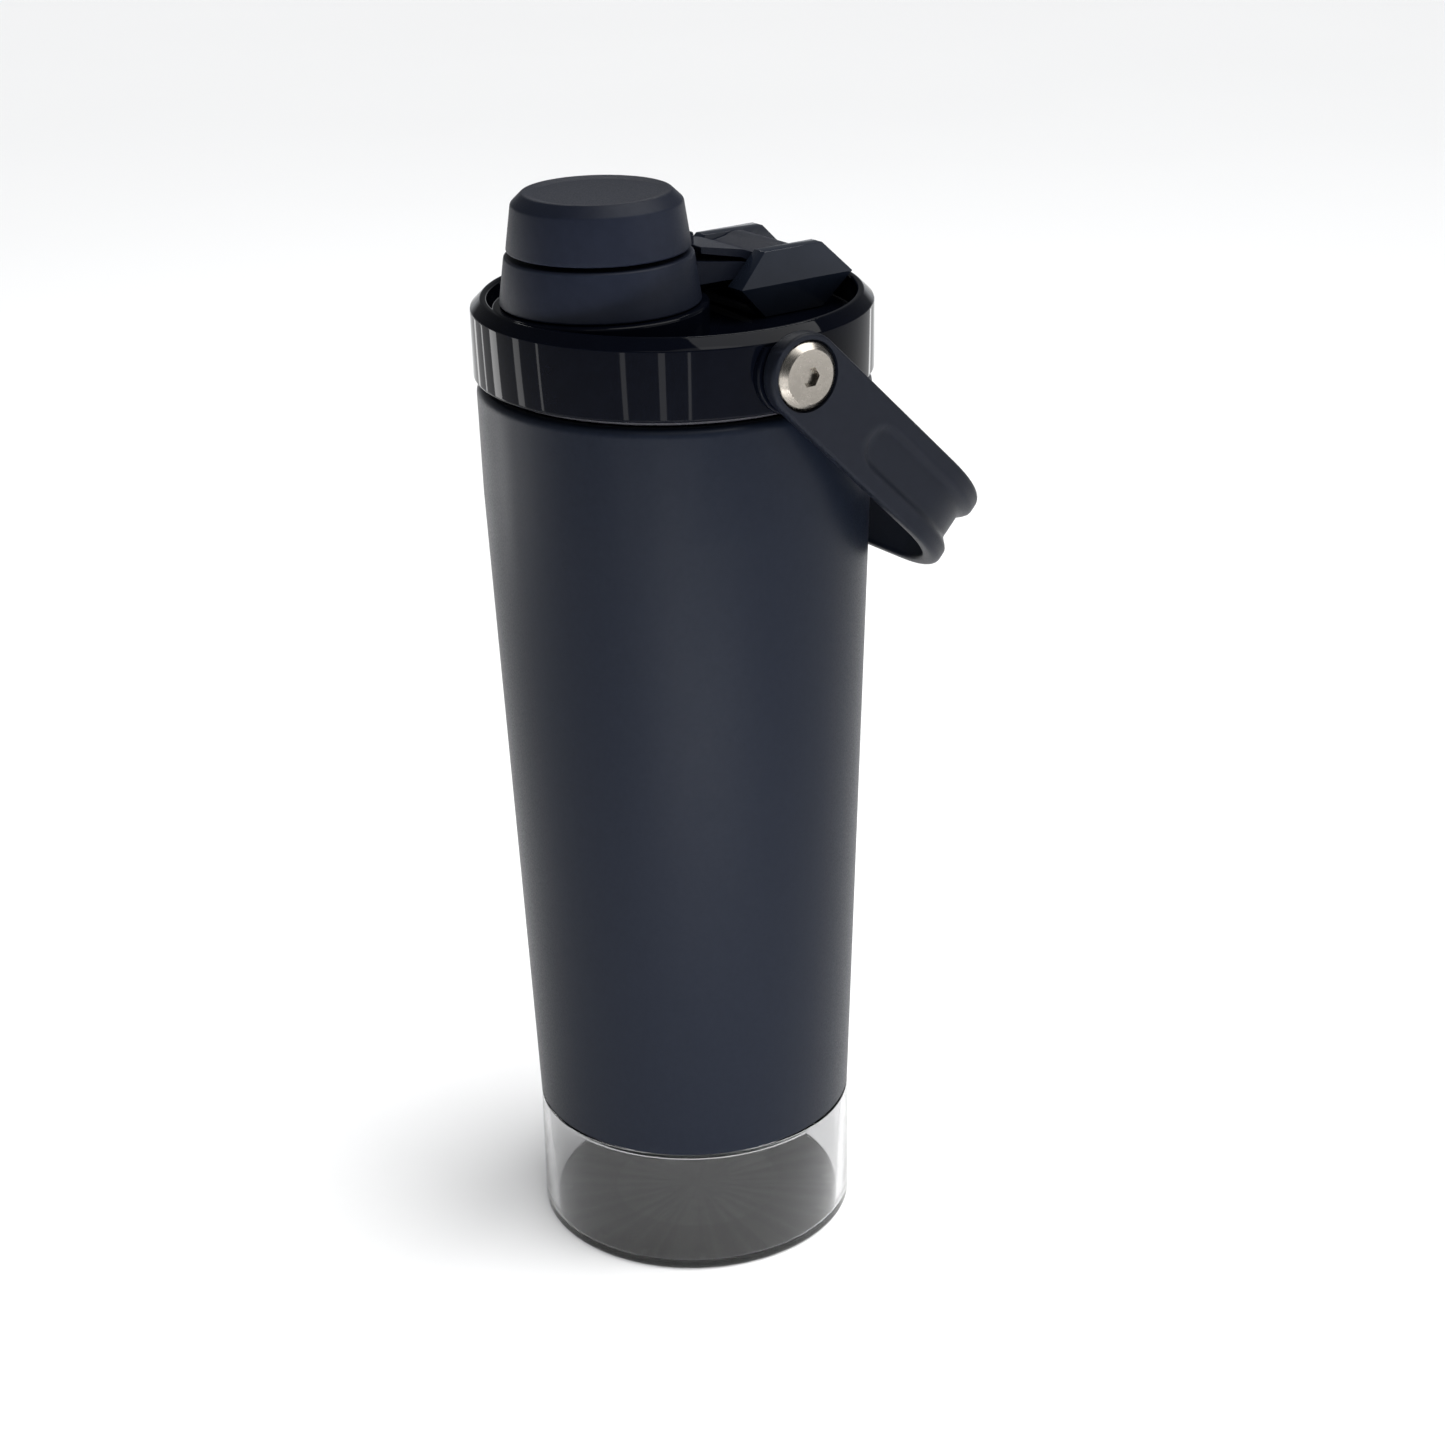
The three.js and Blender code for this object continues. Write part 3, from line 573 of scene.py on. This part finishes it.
def make_body():
    wall = STEEL_WALL
    inner = BODY_RADIUS - 0.1 - wall
    lip = 42.2
    shell = turned("painted_body", rounded([
        (FOOT_RADIUS - wall, SHELL_LOW.z, 0.3),
        (FOOT_RADIUS, SHELL_LOW.z, 0.4),
        (BODY_RADIUS - 0.35, 192, 60),
        (BODY_RADIUS, SHELL_HIGH.z, 2.3),
        (lip, SHELL_HIGH.z, 0.2),
        (lip, SHELL_HIGH.z - wall),
        (inner, SHELL_HIGH.z - wall, 1.5),
        (inner, 198),
    ], steps=8), POWDER)
    fit(shell, "bottle", "outer_shell")

    low = LINER_LOW.z
    base = 36.26
    mouth = LINER_HIGH.x
    liner = turned("steel_liner", rounded([
        (0, low),
        (base, low, 4),
        (mouth - 0.4, 199, 3),
        (mouth, 202, 3),
        (mouth, LINER_HIGH.z, 0.4),
        (mouth - wall, LINER_HIGH.z, 0.4),
        (mouth - wall, 202, 3),
        (mouth - wall - 0.4, 199, 3),
        (base - wall, low + wall, 3),
        (0, low + wall),
    ]), BRUSHED)
    fit(liner, "bottle", "inner_liner")

    z = CHAMBER_LOW.z
    bottom = turned("vacuum_chamber_disc", rounded([
        (0, z + 0.8),
        (4, z + 0.8, 0.3),
        (4, z, 0.3),
        (CHAMBER_HIGH.x, z, 0.4),
        (CHAMBER_HIGH.x, z + 1.2, 0.3),
        (6, z + 1.2, 0.3),
        (5, CHAMBER_HIGH.z, 0.3),
        (0, CHAMBER_HIGH.z),
    ]), BRUSHED)
    fit(bottom, "bottle", "shell_bottom")

    plug_low, plug_high = span("vacuum_seal")
    plug = turned("vacuum_seal_dot", rounded([
        (0, plug_low.z),
        (plug_high.x, plug_low.z, 0.15),
        (plug_high.x, plug_high.z, 0.15),
        (0, plug_high.z),
    ]), NYLON, steps=SMALL_ROUND)
    fit(plug, "bottle", "vacuum_seal")

    ring_low, ring_high = span("base_thread_ring")
    bore = 36.7
    ring = turned("base_thread_ring_moulded", rounded([
        (bore, ring_low.z, 0.3),
        (ring_high.x - 0.4, ring_low.z, 0.3),
        (ring_high.x, ring_high.z, 0.3),
        (bore + 0.2, ring_high.z, 0.3),
    ]), NYLON)
    fit(ring, "bottle", "base_thread_ring")


make_body()


# ---------------------------------------------------------------- lid


def make_lid_cover():
    wall = 2.5
    skirt_inner = LID_RADIUS - wall
    deck_under = DECK_Z - wall
    deck_radius = 42
    cover = turned("lid_cover_gloss", rounded([
        (0, DECK_Z),
        (0, deck_under),
        (skirt_inner, deck_under, 1.2),
        (skirt_inner, SKIRT_Z, 0.3),
        (LID_RADIUS, SKIRT_Z, 0.8),
        (LID_RADIUS, SKIRT_TOP_Z - 0.4, 0.6),
        (deck_radius + 1.5, RIM_Z, 0.9),
        (deck_radius, RIM_Z, 0.7),
        (deck_radius, DECK_Z, 0.6),
    ]), GLOSS)
    plateau_radius = 24.4
    plateau = turned("plateau", rounded([
        (0, deck_under + 0.5),
        (plateau_radius, deck_under + 0.5),
        (plateau_radius, PLATEAU_Z, 0.7),
        (0, PLATEAU_Z),
    ]), centre=(SPOUT_X, 0, 0))
    combine(cover, plateau)

    cavity = turned("cavity", disc(
        plateau_radius - wall, deck_under - 1, PLATEAU_Z - wall,
    ), centre=(SPOUT_X, 0, 0))
    cut(cover, cavity)

    pad_root = 44
    boss_root = 36
    for side in (-1, 1):
        place = dict(centre=(0, 0, PIVOT_Z), axis="Y", side=side)
        pad = turned("pad", rounded([
            (0, pad_root), (PAD_RADIUS, pad_root), (PAD_RADIUS, COVER_HIGH.y, 0.6), (0, COVER_HIGH.y),
        ]), steps=SMALL_ROUND, **place)
        band = extruded("band", [
            (-20, SKIRT_Z + 0.1), (20, SKIRT_Z + 0.1), (20, SKIRT_TOP_Z - 1), (-20, SKIRT_TOP_Z - 1),
        ], -60, 60)
        combine(pad, band, "INTERSECT")
        boss = turned("boss", disc(BOSS_RADIUS, boss_root, pad_root + 0.5), steps=48, **place)
        hole = turned("hole", disc(INSERT_BORE, boss_root + 1.2, 48), steps=48, **place)
        combine(cover, pad)
        combine(cover, boss)
        cut(cover, hole)
    spout_hole = turned(
        "spout_hole", disc(SPOUT_HOLE, PLATEAU_Z - 5, PLATEAU_Z + 5), centre=(SPOUT_X, 0, 0),
    )
    cut(cover, spout_hole)
    finish_in(cover, GLOSS)
    fit(cover, "lid", "lid_cover")


make_lid_cover()


def make_lid_core():
    radius = 39.4
    wall = MOULDED_WALL
    flange_low = CORE_HIGH.z - 2.4
    core = turned("lid_core_plug", rounded([
        (0, CORE_HIGH.z),
        (CORE_HIGH.x, CORE_HIGH.z, 0.4),
        (CORE_HIGH.x, flange_low, 0.4),
        (radius, flange_low, 0.3),
        (radius, CORE_LOW.z, 0.7),
        (radius - wall, CORE_LOW.z, 0.4),
        (radius - wall, flange_low, 1),
        (0, flange_low),
    ]), CORE_PLASTIC)
    bore = turned(
        "bore", disc(SPOUT_BORE, CORE_LOW.z, CORE_HIGH.z + 5), centre=(SPOUT_X, 0, 0), steps=SMALL_ROUND,
    )
    cut(core, bore)
    thread = thread_ridge("core_thread", radius, CORE_LOW.z + 3, 1.3)
    combine(core, thread)
    fit(core, "lid", "lid_core")

    gasket_low, gasket_high = span("lid_gasket")
    gasket = turned("lid_gasket_ring", rounded([
        (40.9, gasket_low.z, 0.4),
        (gasket_high.x, gasket_low.z, 0.4),
        (gasket_high.x, gasket_high.z, 0.4),
        (40.9, gasket_high.z, 0.4),
    ]), SILICONE)
    fit(gasket, "lid_seal", "lid_gasket")

    grid_low, grid_high = span("mixing_grid")
    edge = grid_high.x
    grid = turned("mixing_grid_moulded", rounded([
        (0, grid_low.z),
        (edge, grid_low.z, 0.4),
        (edge, grid_high.z, 0.4),
        (edge - 1.4, grid_high.z, 0.4),
        (edge - 1.4, grid_low.z + 1.8, 0.5),
        (0, grid_low.z + 1.8),
    ]), CORE_PLASTIC)
    hole_radius = 3.8
    hole_pitch = 10.6
    for row in range(3):
        count = max(1, 6 * row)
        for i in range(count):
            angle = 2 * math.pi * i / count
            centre = (hole_pitch * row * math.cos(angle), hole_pitch * row * math.sin(angle), 0)
            hole = turned("hole", disc(hole_radius, grid_low.z - 1, grid_low.z + 3), centre=centre, steps=32)
            cut(grid, hole)
    fit(grid, "lid", "mixing_grid")


make_lid_core()


# ---------------------------------------------------------------- spout and collar


def make_spout():
    low = SPOUT_LOW.z
    flange = SPOUT_HIGH.x - SPOUT_X
    piece = turned("drinking_spout", rounded([
        (SPOUT_BORE, low, 0.4),
        (flange, low, 0.4),
        (flange, low + 2, 0.4),
        (SPOUT_RADIUS, low + 2, 0.5),
        (SPOUT_RADIUS, SPOUT_HIGH.z, 1.1),
        (SPOUT_BORE, SPOUT_HIGH.z, 1.1),
    ]), CORE_PLASTIC, centre=(SPOUT_X, 0, 0), steps=SMALL_ROUND)
    fit(piece, "lid", "spout")


make_spout()


def make_collar():
    wall = MOULDED_WALL
    low, high = COLLAR_LOW.z, COLLAR_HIGH.z
    bottom = SPOUT_X - COLLAR_LOW.x
    top = 21.2
    hole = SPOUT_HOLE
    collar = turned("spout_collar_matt", rounded([
        (bottom, low, 0.4),
        (top, high, 0.7),
        (hole, high, 0.4),
        (hole, high - wall, 0.3),
        (top - wall, high - wall, 1),
        (bottom - wall, low, 0.3),
    ]), CAP_PLASTIC, centre=(SPOUT_X, 0, 0))
    front = SPOUT_X + top - 1
    bridge = extruded("bridge", rounded([
        (front, high - 9),
        (front + 14, high - 9.2, 0.9),
        (front + 14, high - 5.9, 1.0),
        (front, high - 3.8),
    ]), -9, 9)
    combine(collar, bridge)
    finish_in(collar, CAP_PLASTIC)
    fit(collar, "lid", "spout_collar")


make_collar()


# ---------------------------------------------------------------- flip cap


def make_cap():
    low, high = CAP_LOW.z, CAP_HIGH.z
    bottom = SPOUT_X - CAP_LOW.x
    shoulder = 19.2
    shoulder_z = high - 2.9
    crown = 16.6
    cap = turned("flip_cap_matt", rounded([
        (bottom, CAP_BOTTOM_Z, 0.4),
        (shoulder, shoulder_z + 0.4, 1.1),
        (crown, high, 0.9),
        (crown - 2.5, high - 0.55, 3),
        (0, high - 0.75),
        (0, shoulder_z + 0.2),
        (shoulder - 2, shoulder_z + 0.2, 0.4),
        (bottom - 2, CAP_BOTTOM_Z, 0.4),
    ], steps=6), CAP_PLASTIC, centre=(SPOUT_X, 0, 0))
    root = SPOUT_X + bottom - 1.4
    hinge_x, hinge_z = HINGE
    tab = extruded("tab", rounded([
        (root, CAP_BOTTOM_Z + 0.1),
        (root + 2.5, CAP_BOTTOM_Z + 0.1, 0.3),
        (root + 2.5, CAP_BOTTOM_Z - 2.4),
        (root + 3.5, CAP_BOTTOM_Z - 2.4),
        (root + 3.5, CAP_BOTTOM_Z + 0.9, 0.7),
        (root + 0.2, CAP_BOTTOM_Z + 0.9),
    ]), -4, 4)
    arm = extruded("arm", rounded([
        (root + 2.5, CAP_BOTTOM_Z - 3.3, 0.3),
        (14, hinge_z + 4.5, 4),
        (hinge_x - 6, hinge_z + 1.5),
        (hinge_x, hinge_z + 1),
        (hinge_x - 1, hinge_z + 6.1),
        (hinge_x - 7, hinge_z + 5, 3),
        (14, hinge_z + 6.3, 8),
        (root + 2.5, CAP_BOTTOM_Z - 1.8, 0.3),
    ]), -8.4, 8.4)
    combine(arm, tab)
    radius = 6.3
    end = EAR_INNER_Y - 0.3
    knuckle = turned("knuckle", rounded([
        (0, -end), (radius, -end, 0.5), (radius, end, 0.5), (0, end),
    ]), centre=(hinge_x, 0, hinge_z), axis="Y", steps=SMALL_ROUND)
    bore = turned("bore", disc(PIN_BORE, -20, 20), centre=(hinge_x, 0, hinge_z), axis="Y", steps=48)
    combine(arm, knuckle)
    combine(cap, arm)
    cut(cap, bore)
    finish_in(cap, CAP_PLASTIC)
    fit(cap, "cap", "flip_cap")

    liner_low, liner_high = span("cap_liner")
    top = liner_high.z
    liner = turned("cap_liner_moulded", rounded([
        (0, top), (0, top - 1.4), (15.2, top - 1.4, 0.3), (15.2, liner_low.z, 0.4),
        (16.8, liner_low.z, 0.4), (16.8, top, 0.3),
    ]), CORE_PLASTIC, centre=(SPOUT_X, 0, 0), steps=SMALL_ROUND)
    fit(liner, "cap", "cap_liner")

    cap_seal_low, cap_seal_high = span("cap_seal")
    plug_z = cap_seal_low.z
    cap_seal = turned("cap_seal_disc", rounded([
        (0, plug_z), (10.4, plug_z, 0.9), (10.4, plug_z + 2.5, 0.2), (14.6, plug_z + 2.5, 0.4),
        (14.6, cap_seal_high.z, 0.4), (0, cap_seal_high.z),
    ]), SILICONE, centre=(SPOUT_X, 0, 0), steps=SMALL_ROUND)
    fit(cap_seal, "cap", "cap_seal")


make_cap()


# ---------------------------------------------------------------- cap hinge


def make_bracket():
    hinge_x, hinge_z = HINGE
    low, high = BRACKET_LOW.z, BRACKET_HIGH.z
    middle = (low + high) / 2
    reach = BRACKET_HIGH.x - hinge_x
    flat = 8.1
    crease = BRACKET_HIGH.y
    edge = crease - 1.5
    outline = [
        (hinge_x - reach, middle), (hinge_x - flat, low), (hinge_x + flat, low),
        (hinge_x + reach, middle), (hinge_x + flat, high), (hinge_x - flat, high),
    ]
    base = extruded("hinge_bracket_gloss", [
        (hinge_x - 9, low), (hinge_x + 9, low), (hinge_x + 9, low + 1.9), (hinge_x - 9, low + 1.9),
    ], -EAR_INNER_Y - 1, EAR_INNER_Y + 1, BRACKET_LIT_GLOSS)
    for side in (-1, 1):
        fold = [
            (EAR_INNER_Y, low - 1), (edge, low), (crease, middle), (edge, high),
            (EAR_INNER_Y, high + 0.2),
        ]
        wedge = extruded("wedge", [(y * side, z) for y, z in fold], 0, 60, along="X")
        ends = sorted((EAR_INNER_Y * side, (crease + 1) * side))
        ear = extruded("ear", outline, *ends)
        combine(ear, wedge, "INTERSECT")
        combine(base, ear)
    pin_hole = turned(
        "pin_hole", disc(PIN_BORE, -13, 13), centre=(hinge_x, 0, hinge_z), axis="Y", steps=48,
    )
    cut(base, pin_hole)
    finish_in(base, BRACKET_LIT_GLOSS)
    bevel_edges(base, 0.3, angle=12)
    fit(base, "lid", "hinge_bracket")
    pin = turned("hinge_pin_turned", rounded([
        (0, PIN_LOW.y), (PIN_RADIUS, PIN_LOW.y, 0.3), (PIN_RADIUS, PIN_HIGH.y, 0.3), (0, PIN_HIGH.y),
    ]), SCREW_STEEL, centre=(hinge_x, 0, hinge_z), axis="Y", steps=48)
    fit(pin, "lid", "hinge_pin")


make_bracket()


# ---------------------------------------------------------------- handle and its pivots

SEAT_Y = 50.5
HEAD_Y = SCREW_HIGH.y
HEAD_RADIUS = SCREW_HIGH.x
SHOULDER_RADIUS = 3.9


def make_pivots():
    for name, side in (("left", -1), ("right", 1)):
        place = dict(centre=(0, 0, PIVOT_Z), axis="Y", side=side)
        screw = turned(f"shoulder_screw_{name}", rounded([
            (0, 38.5),
            (2.3, 38.5, 0.3),
            (2.3, 45.8),
            (SHOULDER_RADIUS, 45.8, 0.3),
            (SHOULDER_RADIUS, SEAT_Y),
            (HEAD_RADIUS, SEAT_Y, 0.3),
            (HEAD_RADIUS, HEAD_Y - 1.5, 0.15),
            (HEAD_RADIUS - 1.7, HEAD_Y, 0.15),
            (0, HEAD_Y),
        ]), SCREW_STEEL, steps=128, **place)
        socket = turned("socket", disc(2.35, HEAD_Y - 1.4, HEAD_Y + 1), steps=6, **place)
        cut(screw, socket)
        fit(screw, "lid", f"pivot_screw_{name}")
        washer = turned(f"washer_{name}", rounded([
            (4.2, 46.95, 0.1), (8.6, 46.95, 0.1), (8.6, 47.35, 0.1), (4.2, 47.35, 0.1),
        ]), NYLON, steps=SMALL_ROUND, **place)
        fit(washer, "lid", f"pivot_washer_{name}")
        insert = turned(f"brass_insert_{name}", rounded([
            (2.6, 37.5, 0.3), (3.9, 37.5, 0.3), (3.9, 45.5, 0.3), (2.6, 45.5, 0.3),
        ]), BRASS, steps=48, **place)
        fit(insert, "lid", f"pivot_insert_{name}")


make_pivots()


REST_ANGLE = math.radians(44.2)
HANDLE_REACH = 76
HANDLE_INNER_Y = 47.6
CORNER_RADIUS = 27
HALF_WIDTH = 9.4
GRIP_START = 23.5
GRIP_HALF = 5.6


def smooth_step(low, high, value):
    t = min(1, max(0, (value - low) / (high - low)))
    return t * t * (3 - 2 * t)


def loop_path():
    """Stations round the handle's outside: (reach, y, outward reach, outward y, length)."""
    outer = HANDLE_HIGH.y
    straight = HANDLE_REACH - CORNER_RADIUS
    stations = []
    for i in range(15):
        angle = math.pi / 2 * i / 15
        stations.append((-HALF_WIDTH * math.cos(angle), outer, 0, 1))
    for i in range(36):
        stations.append((straight * i / 36, outer, 0, 1))
    for i in range(24):
        angle = math.pi / 2 * i / 24
        reach = straight + CORNER_RADIUS * math.sin(angle)
        y = outer - CORNER_RADIUS + CORNER_RADIUS * math.cos(angle)
        stations.append((reach, y, math.sin(angle), math.cos(angle)))
    flat = outer - CORNER_RADIUS
    for i in range(12):
        stations.append((HANDLE_REACH, flat * (1 - i / 12), 1, 0))
    middle = (HANDLE_REACH, 0, 1, 0)
    mirrored = [(reach, -y, a, -b) for reach, y, a, b in reversed(stations)]
    return stations + [middle] + mirrored


def make_handle():
    """A bar swept round the loop: flat-backed, with a grip pocket sunk along its outside."""
    thickness = HANDLE_HIGH.y - HANDLE_INNER_Y
    path = loop_path()
    half_count = len(path) // 2
    travel = [0.0]
    for last, here in zip(path, path[1:]):
        travel.append(travel[-1] + math.dist(last[:2], here[:2]))
    total = travel[-1]
    bm = bmesh.new()
    across = 44
    rings = []
    for (reach, y, out_reach, out_y), length in zip(path, travel):
        from_tip = min(length, total - length)
        half = math.sqrt(max(0, HALF_WIDTH ** 2 - min(0, reach) ** 2))
        grip = from_tip - HALF_WIDTH
        to_bar = smooth_step(HANDLE_REACH - CORNER_RADIUS, HANDLE_REACH + 5, grip)
        depth = 1.3 + 1.1 * to_bar
        slope = 1.9 + 1.2 * to_bar
        edge = min(1.0 + 1.1 * to_bar, half + 1e-4)
        ring = []
        for k in range(across):
            # Even steps over the flat and finer ones over the rounded edges.
            t = -math.cos(math.pi * (k + 0.5) / across)
            n = half * t / math.cos(math.pi * 0.5 / across)
            inset = edge - math.sqrt(max(0, edge ** 2 - max(0, abs(n) - (half - edge)) ** 2))
            ahead = max(0, GRIP_START + GRIP_HALF - grip)
            off = math.hypot(ahead, n) - GRIP_HALF
            groove = depth * (1 - smooth_step(-slope, 0.2, off))
            inset = max(inset, groove)
            ring.append(place_on_handle(reach - out_reach * inset, y - out_y * inset, n))
        back = min(0.9, half + 1e-4)
        for k in reversed(range(across // 2)):
            t = -math.cos(math.pi * (k + 0.5) / (across // 2))
            n = half * t / math.cos(math.pi / across)
            inset = back - math.sqrt(max(0, back ** 2 - max(0, abs(n) - (half - back)) ** 2))
            inner = thickness - inset
            ring.append(place_on_handle(reach - out_reach * inner, y - out_y * inner, n))
        rings.append([bm.verts.new(p) for p in ring])
    sides = len(rings[0])
    for ring, following in zip(rings, rings[1:]):
        for k in range(sides):
            bm.faces.new((ring[k], ring[(k + 1) % sides], following[(k + 1) % sides], following[k]))
    bm.faces.new(rings[0])
    bm.faces.new(rings[-1])
    handle = new_piece("carry_handle", bm, HANDLE_PLASTIC)
    for side in (-1, 1):
        place = dict(centre=(0, 0, PIVOT_Z), axis="Y", side=side)
        seat = turned("seat", disc(HEAD_RADIUS + 0.3, SEAT_Y - 0.3, 55), steps=128, **place)
        bore = turned("bore", disc(SHOULDER_RADIUS + 0.4, 40, 55), steps=64, **place)
        cut(handle, seat)
        cut(handle, bore)
    finish_in(handle, HANDLE_PLASTIC)
    fit(shade(handle, 40), "handle", "handle")


def place_on_handle(reach, y, n):
    """A point of the handle, swung down to where it rests against the body."""
    c, s = math.cos(REST_ANGLE), math.sin(REST_ANGLE)
    return (reach * c + n * s, y, PIVOT_Z - reach * s + n * c)


make_handle()
